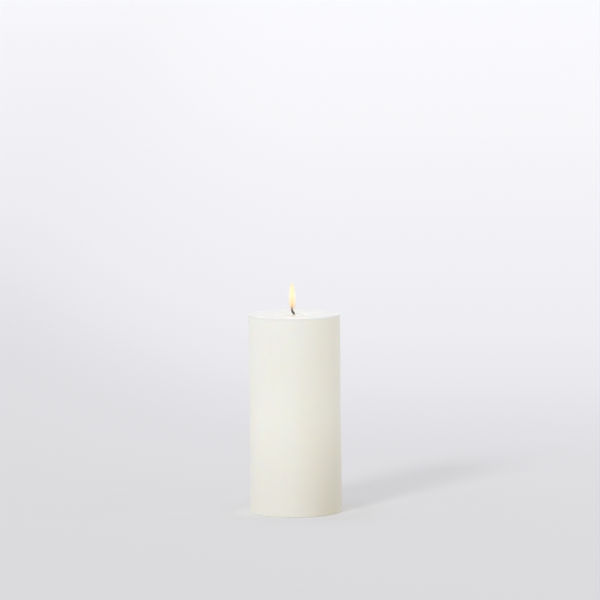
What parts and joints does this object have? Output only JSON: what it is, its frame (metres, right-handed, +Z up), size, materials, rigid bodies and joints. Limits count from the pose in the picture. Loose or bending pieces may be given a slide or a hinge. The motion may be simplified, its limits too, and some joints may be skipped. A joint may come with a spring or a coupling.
{
  "type": "pillar candle",
  "caption": "Plain smooth ivory pillar candle, lit: overdipped wax skin on a wax core, braided wick in a metal tab, liquid wax round the wick and a flame.",
  "frame": {"origin": "centre of the standing face, on the floor the candle stands on", "axes": "+Z up the candle's axis; the charred wick leans towards -X; seen from the front the viewer looks along +Y"},
  "size_m": [0.07, 0.07, 0.1779],
  "materials": {
    "core_wax": "pale pressed candle wax, matt",
    "skin_wax": "ivory overdipped candle wax, smooth satin",
    "liquid_wax": "clear warm liquid wax",
    "wick_cotton": "braided cotton, charred above the wax",
    "tin_plate": "stamped tin-plated steel",
    "flame_glow": "soft yellow candle flame"
  },
  "bodies": {
    "root": {"wax_core": "core_wax", "wax_skin": "skin_wax", "melt_pool": "liquid_wax", "wick": "wick_cotton", "wick_sustainer": "tin_plate", "flame": "flame_glow"}
  },
  "joints": []
}
